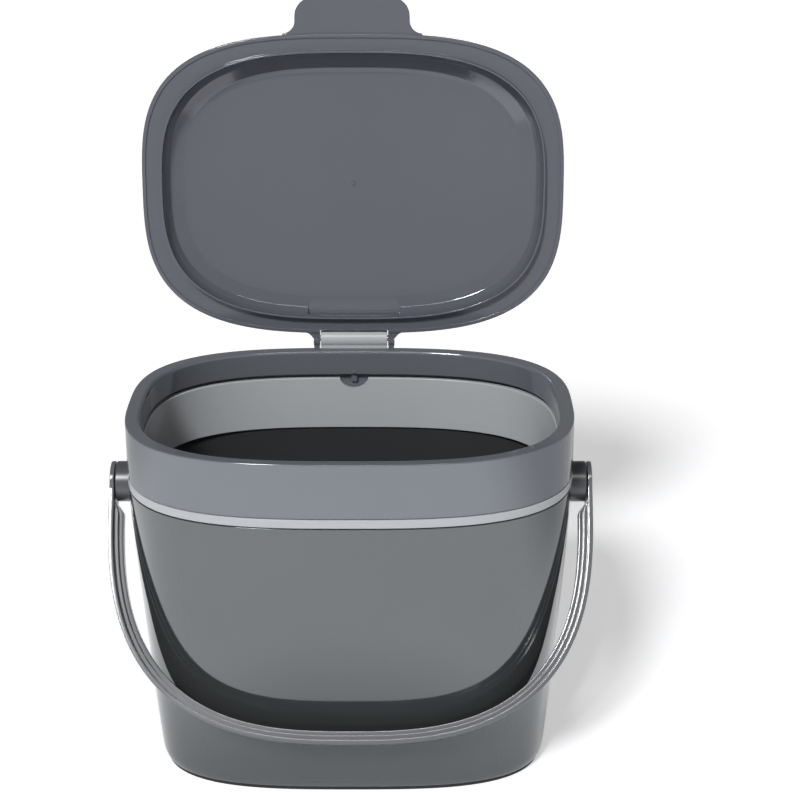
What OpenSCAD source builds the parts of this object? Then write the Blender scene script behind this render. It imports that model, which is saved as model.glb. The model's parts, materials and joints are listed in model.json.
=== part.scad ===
// Kitchen compost caddy: tapered bucket with a clip-on collar, an accent ring with a sleeve
// inside the mouth and the hinge knuckle, a domed lid that stands open, and a bail handle.
// Millimetres. Origin on the ground under the middle of the base, +Z up, front towards -Y.
// The caddy is drawn as it stands in use: lid open, handle down against the front wall.

/* [Body] */
// Width over the rim and the collar
rim_w = 205; // [170:1:240]
// Depth over the rim and the collar
rim_d = 146.6; // [125:0.2:170]
// Height of the rim above the ground
rim_h = 176.1; // [150:0.1:210]
// Squareness of the rim outline, 2 is an ellipse
rim_square = 2.96; // [2.6:0.02:3.6]
// Width of the bucket at its base
base_w = 185.2; // [160:0.2:200]
// Depth of the bucket at its base
base_d = 107; // [90:0.2:125]
// Squareness of the base outline
base_square = 3.15; // [2.6:0.02:3.8]
// How far the side walls belly out from a straight taper
wall_belly = 0.9; // [0:0.1:2]
// Thickness of the bucket's wall
bucket_wall = 2.8; // [2:0.1:3.6]
// Thickness of the bucket's floor
floor_t = 3.2; // [2.4:0.1:5]
// How far the bottom outer edge is rounded in
base_edge_in = 1.4; // [0.6:0.1:2.4]
// Height of the bottom outer edge's rounding
base_edge_h = 6; // [3:0.5:10]
// Radius of the smooth corner between the inside wall and the floor
inside_r = 22; // [12:1:30]

/* [Collar] */
// Height of the collar's outer band
collar_h = 25.5; // [22:0.1:32]
// Thickness of the collar's outer band
collar_wall = 2; // [1.6:0.1:2.6]
// Thickness of the flat rim on top of the collar
rim_t = 2.2; // [1.6:0.1:3]
// Width of the rim's top face at the sides
rim_side = 6.8; // [6.4:0.1:9]
// Width of the rim's top face at the front and back
rim_front = 5.4; // [5.2:0.1:7]
// Depth of the skirt inside the mouth
skirt_h = 12.3; // [9:0.1:13]
// Thickness of that skirt
skirt_t = 1.6; // [1.2:0.1:2]
// Open joint between the skirt and the top of the accent ring's sleeve
neck_gap = 2; // [0.6:0.1:3]
// Radius of the notch in the back of that sleeve
notch_r = 7.4; // [5:0.1:9]
// Width of the collar's key that stands in the notch
key_w = 3; // [2:0.1:6]

/* [Accent ring] */
// Height of the visible accent band
ring_h = 4.1; // [3:0.1:6]
// Shadow line between the accent band and the collar
ring_gap_top = 0.5; // [0.3:0.1:1]
// Shadow line between the accent band and the bucket
ring_gap_low = 0.4; // [0.2:0.1:1]
// How far the ring's hidden core lies behind the visible band
ring_core_in = 1.3; // [0.4:0.1:1.6]
// Thickness of the wall that locates the collar outside the sleeve
ring_core_t = 1.9; // [1.2:0.1:3]
// How far the sleeve reaches down inside the bucket below the accent ring
sleeve_drop = 10.2; // [4:0.1:16]

/* [Hinge] */
// Distance of the hinge pin behind the collar's back face
pin_back = 3.2; // [3:0.1:4.5]
// Height of the hinge pin above the rim
pin_up = 3.8; // [3.6:0.1:5]
// Diameter of the hinge pin
pin_d = 3; // [2.5:0.1:3.4]
// Outer diameter of the knuckle
knuckle_d = 8; // [7.4:0.1:8.6]
// Width of the knuckle
knuckle_w = 33; // [24:0.5:44]
// Thickness of the riser that carries the knuckle
riser_t = 4; // [3:0.1:5]
// Depth of the recess for the riser in the collar's back face
riser_recess = 1.1; // [0.6:0.1:1.4]
// Width of each lid ear beside the knuckle
ear_t = 3.2; // [2.6:0.1:5]
// How far each ear widens at its root
ear_flare = 3.4; // [1:0.1:5]
// Reach of the heels that stop the open lid against the collar
heel_reach = 7.4; // [6.6:0.1:9]
// Angle by which the open lid leans back past upright
lid_lean = 6.05; // [2:0.05:12]

/* [Lid] */
// Squareness of the lid's outline
lid_square = 3.12; // [2.6:0.02:3.8]
// Height of the lid from its edge to its top
lid_h = 13.2; // [11.5:0.1:20]
// Height of the lid's upright side
lid_side_h = 6; // [5:0.1:8]
// Wall thickness of the lid
lid_wall = 1.8; // [1.4:0.1:2.4]
// Depth of the channel between the lid's edge and its skirt
channel_h = 0.8; // [0.6:0.1:2]
// How far the lid's skirt reaches down into the mouth
lid_skirt_drop = 3.1; // [1:0.1:5]
// Thickness of the lid's skirt
lid_skirt_t = 0.9; // [0.8:0.1:1.6]
// Width of the pocket inside the lid at the hinge
pocket_w = 45.7; // [36:0.1:60]
// Height of that pocket's flat bottom above the lid's edge
pocket_h = 7; // [5:0.1:7.6]
// Width of the finger tab at its tip
tab_w = 55; // [40:0.5:70]
// Length of the finger tab in front of the lid's edge
tab_l = 17; // [10:0.1:22]
// Thickness of the finger tab
tab_t = 2.6; // [2:0.1:3.5]
// Corner radius of the finger tab
tab_r = 9; // [5:0.5:12]
// Radius of the fillets between the tab and the lid
tab_fillet = 6; // [3:0.5:9]

/* [Handle] */
// Diameter of the side hubs and of the handle's ends
hub_d = 19.1; // [16:0.1:22]
// How far each hub stands out beyond the rim
hub_proud = 7.25; // [5:0.05:10]
// Gap between the accent ring and the top of the hubs
hub_below_ring = 0.5; // [0.4:0.1:4]
// Diameter of each hub's spigot in the bucket's wall
spigot_d = 13; // [11:0.1:15]
// Length of each hub's spigot
spigot_l = 1; // [0.6:0.1:1.2]
// Diameter of the studs on which the handle turns
stud_d = 8; // [6:0.1:9]
// Length of those studs
stud_l = 9; // [7:0.1:9.4]
// Reach of the handle from its pivot to the outside of its grip
handle_reach = 122.2; // [116:0.1:150]
// Squareness of the handle's curve
handle_square = 2.72; // [2.3:0.02:3.2]
// Length of the straight part of the arms below the pivot
arm_straight = 12; // [10.5:0.5:25]
// Width of the handle's strap
strap_w = 17.5; // [14:0.1:18]
// Thickness of the handle's strap
strap_t = 2.15; // [1.8:0.05:3]
// Height of the rib inside the strap
rib_h = 4.1; // [2:0.1:4.4]
// Width of that rib at its root
rib_w = 11; // [6:0.1:13]
// Width of that rib at its crest
rib_crest_w = 7; // [4:0.1:10]

/* [Foot] */
// Height of the rubber foot ring
foot_h = 2; // [1.4:0.1:3]
// Width of the rubber foot ring
foot_w = 6; // [4:0.1:9]
// Height of the tongue that holds the foot ring in the floor's groove
tongue_h = 1.2; // [0.8:0.1:1.4]
// Thickness of that tongue
tongue_t = 2; // [1.4:0.1:2.6]

/* [Fits] */
// Radial running clearance of the hinge pin and of the handle studs
run_gap = 0.05; // [0.02:0.01:0.1]
// Gap between moulded pieces that lie beside each other
part_gap = 0.3; // [0.2:0.05:0.5]
// Gap between the closed lid and the rim
lid_gap = 0.4; // [0.2:0.05:0.8]
// Gap between the lid's skirt and the mouth
skirt_gap = 2.4; // [0.5:0.1:3]
// Gap between each hub's face and the handle's arm
arm_gap = 0.5; // [0.3:0.05:1]
// Gap at rest between the handle and the wall that stops it
rest_gap = 0.3; // [0.2:0.05:0.6]

/* [Hidden] */
$fn = 64;
// Points around each outline
around = 96;
e = 0.01;

// Heights and half sizes that follow from the driving dimensions
collar_z = rim_h - collar_h;
shoulder_z = collar_z - ring_gap_top - ring_h - ring_gap_low;
skirt_z = rim_h - skirt_h;
neck_z = skirt_z - neck_gap;
rim_a = rim_w / 2;
rim_b = rim_d / 2;
mouth_a = rim_a - rim_side;
mouth_b = rim_b - rim_front;
neck_in = ring_core_in + ring_core_t + part_gap;
floor_z = foot_h + floor_t;
sleeve_z = shoulder_z - sleeve_drop;
sleeve_a = wall_a(sleeve_z) - bucket_wall - part_gap;
sleeve_b = wall_b(sleeve_z) - bucket_wall - part_gap;
pin_y = rim_b + pin_back;
pin_z = rim_h + pin_up;
ear_in = knuckle_w / 2 + 0.4;
hub_z = shoulder_z - hub_below_ring - hub_d / 2 + ring_gap_low;
hub_end = rim_a + hub_proud;
arm_in = hub_end + arm_gap;
handle_a = arm_in + strap_t;
lid_open = 90 + lid_lean;

// The bucket's outer wall at height z: half width, half depth and squareness
function rise(z) = (z - foot_h) / (shoulder_z - foot_h);
function belly(z) = wall_belly * 4 * rise(z) * (1 - rise(z));
function wall_a(z) = base_w / 2 + (rim_a - base_w / 2) * rise(z) + belly(z);
function wall_b(z) = base_d / 2 + (rim_b - base_d / 2) * rise(z) + belly(z);
function wall_n(z) = base_square + (rim_square - base_square) * rise(z);

// The hubs are seated a little way into the side walls
hub_seat = wall_a(hub_z - hub_d / 2) - 0.4;

// Angle of the resting handle from straight down. A point of its strap at x, y lies rest_gap
// off the front wall when its angle is settled, and the handle rests where the first point does.
function front_wall(x, z) = wall_b(z) * pow(1 - pow(abs(x) / wall_a(z), wall_n(z)), 1 / wall_n(z));
function settle(x, y, a, steps) = steps == 0 ? a : settle(x, y,
    asin((rest_gap + strap_w / 2 * cos(a)
        + front_wall(x, hub_z + y * cos(a) - strap_w / 2 * sin(a))) / -y), steps - 1);
rest_angle = max([for (t = [50:5:90]) let (p = bail_point(strap_t, t + 180)) settle(p[0], p[1], 30, 14)]);

// Superellipse with half sizes a and b and squareness n
function spow(v, p) = sign(v) * pow(abs(v), p);
function outline(a, b, n) = [for (i = [0:around - 1]) let (t = 360 * i / around)
    [a * spow(cos(t), 2 / n), b * spow(sin(t), 2 / n)]];

// Smooth shell through a stack of outlines [a, b, n, z], closed by its first and last outline,
// or by joining the last outline to the first when it is a ring
module loft(rings, ring = false) {
    points = [for (r = rings, p = outline(r[0], r[1], r[2])) [p[0], p[1], r[3]]];
    last = len(rings) - 1;
    sides = [for (k = [0:ring ? last : last - 1], i = [0:around - 1])
        let (j = (i + 1) % around, p = k * around, q = (k == last ? 0 : k + 1) * around)
        each [[p + i, q + i, q + j], [p + i, q + j, p + j]]];
    low = [for (i = [0:around - 1]) i];
    high = [for (i = [around - 1:-1:0]) last * around + i];
    polyhedron(points = points, faces = ring ? sides : concat(sides, [low, high]), convexity = 6);
}

// Upright band between two outlines that lie in_out and in_in inside half sizes a and b
module band(a, b, n, in_out, in_in, z, h) {
    translate([0, 0, z]) linear_extrude(height = h, convexity = 4) difference() {
        polygon(outline(a - in_out, b - in_out, n));
        polygon(outline(a - in_in, b - in_in, n));
    }
}

// Cylinder along X from x, of length l
module rod(x, l, d, y = 0, z = 0) {
    translate([x, y, z]) rotate([0, 90, 0]) cylinder(h = l, d = d);
}

// Turns what is drawn for the closed lid into its open place
module open_lid() {
    translate([0, pin_y, pin_z]) rotate([-lid_open, 0, 0]) translate([0, -pin_y, -pin_z])
        children();
}

// The bucket's section, from the base edge up the outside, then down the inside
function bucket_rings() = concat(
    [for (t = [0:30:90]) let (z = foot_h + base_edge_h * (1 - cos(t)))
        [wall_a(z) - base_edge_in * (1 - sin(t)), wall_b(z) - base_edge_in * (1 - sin(t)), wall_n(z), z]],
    [for (s = [1:4]) let (z = foot_h + base_edge_h + (shoulder_z - foot_h - base_edge_h) * s / 4)
        [wall_a(z), wall_b(z), wall_n(z), z]],
    [for (s = [4:-1:0]) let (z = floor_z + inside_r + (shoulder_z - floor_z - inside_r) * s / 4)
        [wall_a(z) - bucket_wall, wall_b(z) - bucket_wall, wall_n(z), z]],
    [for (t = [18:18:90]) let (z = floor_z + inside_r * (1 - sin(t)), d = inside_r * (1 - cos(t)))
        [wall_a(z) - bucket_wall - d, wall_b(z) - bucket_wall - d, wall_n(z), z]]);

// Pocket for one hub: a shallow seat and the hole for its spigot
module hub_pocket(side) {
    mirror([side < 0 ? 1 : 0, 0, 0]) {
        rod(hub_seat, 10, hub_d + 2 * part_gap, 0, hub_z);
        rod(hub_seat - spigot_l - 0.2, 10, spigot_d + 2 * run_gap, 0, hub_z);
    }
}

// Tapered bucket with a smooth inside, hub pockets and a groove for the foot ring
module bucket() {
    color([0.36, 0.38, 0.39]) difference() {
        loft(bucket_rings());
        hub_pocket(1);
        hub_pocket(-1);
        band(base_w / 2, base_d / 2, base_square, foot_in + foot_side - 0.06,
            foot_in + foot_side + tongue_t + 0.06, foot_h - 1, tongue_h + 1.1);
    }
}

// Where the foot ring and its tongue lie inside the base outline
foot_in = base_edge_in + 0.2;
foot_side = (foot_w - tongue_t) / 2;

// Rubber ring under the base, with a tongue in the floor's groove
module foot_ring() {
    color([0.08, 0.08, 0.09]) {
        band(base_w / 2, base_d / 2, base_square, foot_in, foot_in + foot_w, 0, foot_h);
        band(base_w / 2, base_d / 2, base_square, foot_in + foot_side, foot_in + foot_side + tongue_t,
            foot_h - e, tongue_h + e);
    }
}

// Collar: outer band, flat rim and inner skirt, with a key in the sleeve's notch
module collar() {
    color([0.42, 0.44, 0.46]) difference() {
        union() {
            band(rim_a, rim_b, rim_square, 0, collar_wall, collar_z, collar_h);
            translate([0, 0, rim_h - rim_t]) linear_extrude(height = rim_t) difference() {
                polygon(outline(rim_a - 0.5, rim_b - 0.5, rim_square));
                polygon(outline(mouth_a, mouth_b, rim_square));
            }
            band(mouth_a + skirt_t, mouth_b + skirt_t, rim_square, 0, skirt_t, skirt_z, skirt_h - e);
            translate([-key_w / 2, rim_b - neck_in - 0.5, skirt_z - notch_r * 0.6])
                cube([key_w, neck_in - collar_wall + 0.8, notch_r * 0.6 + 1]);
        }
        translate([-knuckle_w / 2 - part_gap, rim_b - riser_recess, collar_z - 1])
            cube([knuckle_w + 2 * part_gap, 10, collar_h + 2]);
    }
}

// Accent ring: visible band on a flange, a sleeve that lines the mouth below the collar's
// skirt, and a riser at the back with the hinge knuckle
module accent_ring() {
    riser_y = rim_b - riser_recess + 0.1;
    color([0.72, 0.74, 0.76]) difference() {
        union() {
            band(rim_a, rim_b, rim_square, 0, ring_core_in + e, shoulder_z + ring_gap_low, ring_h);
            translate([0, 0, shoulder_z]) linear_extrude(height = collar_z - shoulder_z, convexity = 4)
                difference() {
                    polygon(outline(rim_a - ring_core_in, rim_b - ring_core_in, rim_square));
                    polygon(outline(mouth_a + 0.4, mouth_b + 0.4, rim_square));
                }
            sleeve();
            translate([-knuckle_w / 2, riser_y, shoulder_z + ring_gap_low])
                cube([knuckle_w, riser_t, collar_h + ring_gap_top + ring_h]);
            translate([-knuckle_w / 2, rim_b + part_gap, rim_h - 1])
                cube([knuckle_w, riser_y + riser_t - rim_b - part_gap, pin_up + 1]);
            rod(-knuckle_w / 2, knuckle_w, knuckle_d, pin_y, pin_z);
        }
        rod(-knuckle_w / 2 - 1, knuckle_w + 2, pin_d + 2 * run_gap, pin_y, pin_z);
        translate([0, mouth_b - 2, skirt_z]) rotate([-90, 0, 0])
            cylinder(h = rim_b - mouth_b - riser_recess + 1.6, r = notch_r);
    }
}

// Sleeve inside the mouth: slim inside the bucket, and wider above the flange, where the
// collar is pushed over it
module sleeve() {
    loft([[sleeve_a, sleeve_b, rim_square, sleeve_z], [sleeve_a, sleeve_b, rim_square, shoulder_z + 1],
        [rim_a - neck_in, rim_b - neck_in, rim_square, shoulder_z + 1],
        [rim_a - neck_in, rim_b - neck_in, rim_square, neck_z], [mouth_a, mouth_b, rim_square, neck_z],
        [mouth_a, mouth_b, rim_square, sleeve_z]], ring = true);
}

// The lid's section: panel, skirt, channel, edge, side and dome, as half sizes and heights
lid_z = rim_h + lid_gap;
skirt_a = mouth_a - skirt_gap;
skirt_b = mouth_b - skirt_gap;
panel_a = skirt_a - lid_skirt_t;
panel_b = skirt_b - lid_skirt_t;
function lid_rings() = concat(
    [for (p = [[66, 0.1], [44, 0.5], [26, 1.2], [14, 2.1], [9.5, 2.7], [3, 5], [0.9, 8]])
        [panel_a - p[0], panel_b - p[0] * 0.86, rim_square, lid_z + lid_h - lid_wall - p[1]]],
    [[panel_a, panel_b, rim_square, lid_z],
     [panel_a, panel_b, rim_square, lid_z - lid_skirt_drop],
     [skirt_a, skirt_b, rim_square, lid_z - lid_skirt_drop],
     [skirt_a, skirt_b, rim_square, lid_z + channel_h],
     [rim_a - lid_wall, rim_b - lid_wall, lid_square, lid_z + channel_h],
     [rim_a - lid_wall, rim_b - lid_wall, lid_square, lid_z],
     [rim_a - 0.4, rim_b - 0.4, lid_square, lid_z],
     [rim_a, rim_b, lid_square, lid_z + 1.6],
     [rim_a - 0.3, rim_b - 0.3, lid_square, lid_z + lid_side_h * 0.6],
     [rim_a - 1.8, rim_b - 1.8, lid_square, lid_z + lid_side_h]],
    [for (p = [[5, 2.6], [11, 4.8], [20, 6.7], [34, 8.1], [52, 8.8], [66, 9]])
        [rim_a - p[0], rim_b - p[0] * 0.94, lid_square - p[0] * 0.008,
            lid_z + lid_side_h + (lid_h - lid_side_h) * p[1] / 9]]);

// Finger tab, drawn flat: rounded tip corners and fillets where it leaves the lid's edge
module tab_outline() {
    tip = -rim_b - tab_l;
    root = -rim_b + 3;
    w = tab_w / 2;
    difference() {
        polygon(concat(
            [[-w - tab_fillet, root], [-w - tab_fillet, -rim_b + 0.2]],
            [for (t = [90:-15:0]) [-w - tab_fillet + tab_fillet * cos(t), -rim_b - tab_fillet + tab_fillet * sin(t)]],
            [for (t = [180:15:270]) [-w + tab_r + tab_r * cos(t), tip + tab_r + tab_r * sin(t)]],
            [for (t = [270:15:360]) [w - tab_r + tab_r * cos(t), tip + tab_r + tab_r * sin(t)]],
            [for (t = [180:-15:90]) [w + tab_fillet + tab_fillet * cos(t), -rim_b - tab_fillet + tab_fillet * sin(t)]],
            [[w + tab_fillet, -rim_b + 0.2], [w + tab_fillet, root]]));
        polygon([for (p = outline(rim_a - lid_wall / 2, rim_b - lid_wall / 2, lid_square)) p]);
    }
}

// One hinge ear with its flared root, drawn for the closed lid, on the +X side
module ear() {
    rod(ear_in, ear_t, knuckle_d, pin_y, pin_z);
    translate([ear_in, rim_b - lid_wall, lid_z + 0.6])
        cube([ear_t, pin_back + lid_wall, pin_z + knuckle_d / 2 - lid_z - 0.6]);
    translate([0, 0, lid_z + 0.6]) linear_extrude(height = lid_side_h - 1.6)
        polygon([[ear_in, rim_b - lid_wall], [ear_in + ear_t + ear_flare, rim_b - lid_wall],
            [ear_in + ear_t + ear_flare, rim_b], [ear_in + ear_t, pin_y], [ear_in, pin_y]]);
}

// Heel that meets the collar's back face when the lid stands open, on the +X side
module heel() {
    translate([ear_in + 0.25, rim_b + part_gap, pin_z - heel_reach])
        cube([ear_t - 0.5, pin_back + 0.8, heel_reach]);
}

// Domed lid with skirt, channel, finger tab and two hinge ears
module lid() {
    color([0.38, 0.39, 0.41]) difference() {
        union() {
            open_lid() {
                difference() {
                    union() {
                        loft(lid_rings());
                        translate([-ear_in - ear_t, skirt_b - 1, lid_z + 0.6])
                            cube([2 * (ear_in + ear_t), rim_b - skirt_b - 0.3, lid_side_h - 2]);
                    }
                    rod(-ear_in, 2 * ear_in, knuckle_d + 1, pin_y, pin_z);
                    translate([-ear_in, rim_b - 1.6, lid_z - 1]) cube([2 * ear_in, 14, 20]);
                    translate([-pocket_w / 2, panel_b - 20, lid_z - lid_skirt_drop - 1])
                        cube([pocket_w, 19.6, lid_skirt_drop + 1 + pocket_h]);
                }
                translate([0, 0, lid_z + 1.4]) linear_extrude(height = tab_t) tab_outline();
                ear();
                mirror([1, 0, 0]) ear();
            }
            heel();
            mirror([1, 0, 0]) heel();
        }
        rod(-ear_in - ear_t - 1, 2 * (ear_in + ear_t) + 2, pin_d, pin_y, pin_z);
    }
}

// Steel hinge pin, pressed into the lid's ears and running in the knuckle
module hinge_pin() {
    color([0.75, 0.75, 0.77]) rod(-ear_in - ear_t + 0.2, 2 * (ear_in + ear_t) - 0.4, pin_d, pin_y, pin_z);
}

// The handle's curve in its own plane: X across, -Y from the pivot towards the grip
function bail_point(in, t) = [(handle_a - in) * spow(cos(t), 2 / handle_square),
    -arm_straight + (handle_reach - arm_straight - in) * spow(sin(t), 2 / handle_square)];
function bail(in) = [for (i = [0:60]) bail_point(in, 180 + 3 * i)];

// Flat band between two such curves, from the pivot down
module bail_band(out, in) {
    outer = bail(out);
    inner = bail(in);
    polygon(concat([[out - handle_a, 0]], outer, [[handle_a - out, 0], [handle_a - in, 0]],
        [for (i = [60:-1:0]) inner[i]], [[in - handle_a, 0]]));
}

// The rib starts below the hub with a ramp
module rib_band(out, in) {
    top = -hub_d / 2 - 0.6;
    foot = arm_in - rib_h - 1;
    difference() {
        bail_band(out, in);
        for (side = [0, 1]) mirror([side, 0])
            polygon([[-1, 1], [handle_a + 1, 1], [handle_a + 1, top], [arm_in, top],
                [foot, top - (rib_h + 1) * 1.1], [-1, top - (rib_h + 1) * 1.1]]);
    }
}

// Stud inside one end of the handle, with the bead that snaps past the hub's lip, on the +X side
module stud() {
    rod(arm_in - stud_l, stud_l + e, stud_d);
    rod(arm_in - stud_l + 1, 1.2, stud_d + 1.2);
}

// Bail handle: thin strap with a stepped rib inside it and a disc with a stud at each end
module handle() {
    color([0.3, 0.31, 0.33]) translate([0, 0, hub_z]) rotate([90 - rest_angle, 0, 0]) {
        linear_extrude(height = strap_w, center = true, convexity = 4) bail_band(0, strap_t);
        linear_extrude(height = rib_w, center = true, convexity = 4)
            rib_band(strap_t - e, strap_t + rib_h / 2);
        linear_extrude(height = rib_crest_w, center = true, convexity = 4)
            rib_band(strap_t + rib_h / 2 - e, strap_t + rib_h);
        for (side = [0, 1]) mirror([side, 0, 0]) {
            rod(arm_in, strap_t, hub_d);
            stud();
        }
    }
}

// Hub on the +X side: a boss with a spigot in the wall and a lipped bore for the handle's stud
module pivot_hub() {
    lip_l = hub_end - (arm_in - stud_l + 2.2) - 0.3;
    color([0.2, 0.21, 0.23]) difference() {
        union() {
            rod(hub_seat, hub_end - hub_seat, hub_d, 0, hub_z);
            rod(hub_seat - spigot_l, spigot_l + e, spigot_d, 0, hub_z);
        }
        rod(arm_in - stud_l - 0.4, stud_l + 2, stud_d + 2 * run_gap, 0, hub_z);
        rod(arm_in - stud_l - 0.4, hub_end - lip_l - (arm_in - stud_l - 0.4), stud_d + 1.2 + 0.3, 0, hub_z);
    }
}
module pivot_hub_right() {
    pivot_hub();
}
module pivot_hub_left() {
    mirror([1, 0, 0]) pivot_hub();
}

bucket();
collar();
accent_ring();
foot_ring();
lid();
hinge_pin();
handle();
pivot_hub_left();
pivot_hub_right();
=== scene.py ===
"""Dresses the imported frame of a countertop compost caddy: bucket, collar, accent ring with the
hinge, domed lid, bail handle and its hubs, a white studio and the camera. All in metres."""

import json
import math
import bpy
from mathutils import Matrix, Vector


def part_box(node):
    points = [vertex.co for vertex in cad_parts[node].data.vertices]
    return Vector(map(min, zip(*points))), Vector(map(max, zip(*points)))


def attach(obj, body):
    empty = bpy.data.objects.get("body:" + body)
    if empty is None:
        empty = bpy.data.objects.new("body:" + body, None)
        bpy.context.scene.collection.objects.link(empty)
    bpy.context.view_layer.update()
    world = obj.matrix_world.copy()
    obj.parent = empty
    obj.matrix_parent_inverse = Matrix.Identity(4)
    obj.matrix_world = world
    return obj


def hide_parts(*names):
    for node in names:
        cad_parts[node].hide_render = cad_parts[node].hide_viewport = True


bl_info = {
    "name": "Compost Caddy",
    "version": (1, 0, 0),
    "blender": (4, 5, 0),
    "location": "3D View > Sidebar > Caddy",
    "description": "Builds a compost caddy with a hinged lid and a bail handle over its CAD frame",
    "category": "Add Mesh",
}

import bmesh
import bpy
import numpy as np
from bpy.props import FloatProperty, FloatVectorProperty, IntProperty, PointerProperty
from mathutils import Matrix, Vector

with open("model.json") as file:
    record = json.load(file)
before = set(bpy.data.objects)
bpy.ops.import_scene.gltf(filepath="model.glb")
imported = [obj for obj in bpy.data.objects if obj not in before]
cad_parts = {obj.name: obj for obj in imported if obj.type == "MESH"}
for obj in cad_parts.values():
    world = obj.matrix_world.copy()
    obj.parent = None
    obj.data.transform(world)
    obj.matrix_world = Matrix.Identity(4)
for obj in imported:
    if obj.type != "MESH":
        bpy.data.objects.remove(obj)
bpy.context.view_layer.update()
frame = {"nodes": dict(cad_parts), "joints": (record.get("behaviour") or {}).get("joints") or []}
JOINTS = {joint["name"]: joint for joint in frame["joints"]}
COLLAR_LOW, COLLAR_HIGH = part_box("collar")
LID_OPEN = math.radians(max(JOINTS["lid_hinge"]["range_deg"]))
PIN = Vector(JOINTS["lid_hinge"]["pos_m"])
PIVOT = Vector(JOINTS["handle_swing"]["pos_m"])
HUB_LOW, HUB_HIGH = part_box("pivot_hub_right")
ON_AXIS = 1e-6  # radius at which a turned profile starts and ends
MIDDLE = 1e-5  # half width of the ring that closes a lofted floor
SPIGOT_R, SPIGOT_L, SPIGOT_GAP = 0.0065, 0.001, 0.0001


# Sizes and colours
def length(name, text, value):
    """A length in metres."""
    return FloatProperty(name=name, description=text, default=value, min=0, precision=4, unit="LENGTH")


def squareness(name, text, value):
    """The exponent of a superellipse: 2 is an ellipse, more is squarer."""
    return FloatProperty(name=name, description=text, default=value, min=2, max=6)


def colour(name, text, value):
    """A surface colour, linear red, green and blue."""
    return FloatVectorProperty(name=name, description=text, default=value, size=3, min=0, max=1,
                               subtype="COLOR")


class BucketSizes(bpy.types.PropertyGroup):
    """Outline and walls of the bucket and its foot."""

    rim_w: length("Rim width", "Width over the rim and the collar", COLLAR_HIGH.x - COLLAR_LOW.x)
    rim_d: length("Rim depth", "Depth over the rim and the collar", 2 * -COLLAR_LOW.y)
    rim_h: length("Rim height", "Height of the rim above the ground", COLLAR_HIGH.z)
    rim_square: squareness("Rim squareness", "Squareness of the rim outline", 2.96)
    base_w: length("Base width", "Width of the bucket at its base", 0.1852)
    base_d: length("Base depth", "Depth of the bucket at its base", 0.107)
    base_square: squareness("Base squareness", "Squareness of the base outline", 3.15)
    belly: length("Belly", "How far the side walls belly out from a straight taper", 0.0009)
    wall: length("Wall", "Thickness of the wall", 0.0028)
    floor_t: length("Floor", "Thickness of the floor", 0.0032)
    edge_in: length("Edge inset", "How far the bottom outer edge is rounded in", 0.0014)
    edge_h: length("Edge height", "Height of the bottom outer edge's rounding", 0.006)
    inside_r: length("Inside radius", "Radius between the inside wall and the floor", 0.022)
    foot_h: length("Foot height", "Height of the rubber foot ring", 0.002)
    foot_w: length("Foot width", "Width of the rubber foot ring", 0.006)
    tongue_h: length("Tongue height", "Height of the foot ring's tongue in the floor", 0.0012)
    tongue_t: length("Tongue width", "Width of the foot ring's tongue", 0.002)


class CollarSizes(bpy.types.PropertyGroup):
    """The collar, the accent ring below it and the hinge at its back."""

    height: length("Height", "Height of the collar's outer band", COLLAR_HIGH.z - COLLAR_LOW.z)
    wall: length("Wall", "Thickness of the outer band", 0.002)
    rim_t: length("Rim thickness", "Thickness of the flat rim", 0.0022)
    rim_side: length("Rim at the sides", "Width of the rim's top face at the sides", 0.0068)
    rim_front: length("Rim at the front", "Width of the rim's top face at the front and back", 0.0054)
    skirt_h: length("Skirt depth", "Depth of the skirt inside the mouth", 0.0123)
    skirt_t: length("Skirt thickness", "Thickness of that skirt", 0.0016)
    mouth_r: length("Mouth edge", "Rounding of the rim's inner edge", 0.0018)
    neck_gap: length("Sleeve gap", "Open joint between the skirt and the accent ring's sleeve", 0.002)
    ring_h: length("Accent height", "Height of the visible accent band", 0.0041)
    gap_top: length("Upper gap", "Shadow line above the accent band", 0.0005)
    gap_low: length("Lower gap", "Shadow line below the accent band", 0.0004)
    core_in: length("Core inset", "How far the accent ring's flange lies behind its band", 0.0013)
    neck_in: length("Neck inset", "How far the sleeve lies inside the rim above the flange", 0.0035)
    sleeve_drop: length("Sleeve drop", "How far the sleeve reaches down inside the bucket", 0.0102)
    notch_r: length("Notch radius", "Radius of the notch in the back of the sleeve", 0.0074)
    part_gap: length("Fit gap", "Gap between moulded pieces beside each other", 0.0003)
    knuckle_d: length("Knuckle diameter", "Outer diameter of the hinge knuckle", 0.008)
    knuckle_w: length("Knuckle width", "Width of the hinge knuckle", 0.033)
    pin_d: length("Pin diameter", "Diameter of the hinge pin", 0.003)
    riser_t: length("Riser thickness", "Thickness of the riser under the knuckle", 0.004)
    recess: length("Recess", "Depth of the riser's recess in the collar", 0.0011)
    key_w: length("Key width", "Width of the collar's key in the notch", 0.003)


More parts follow.
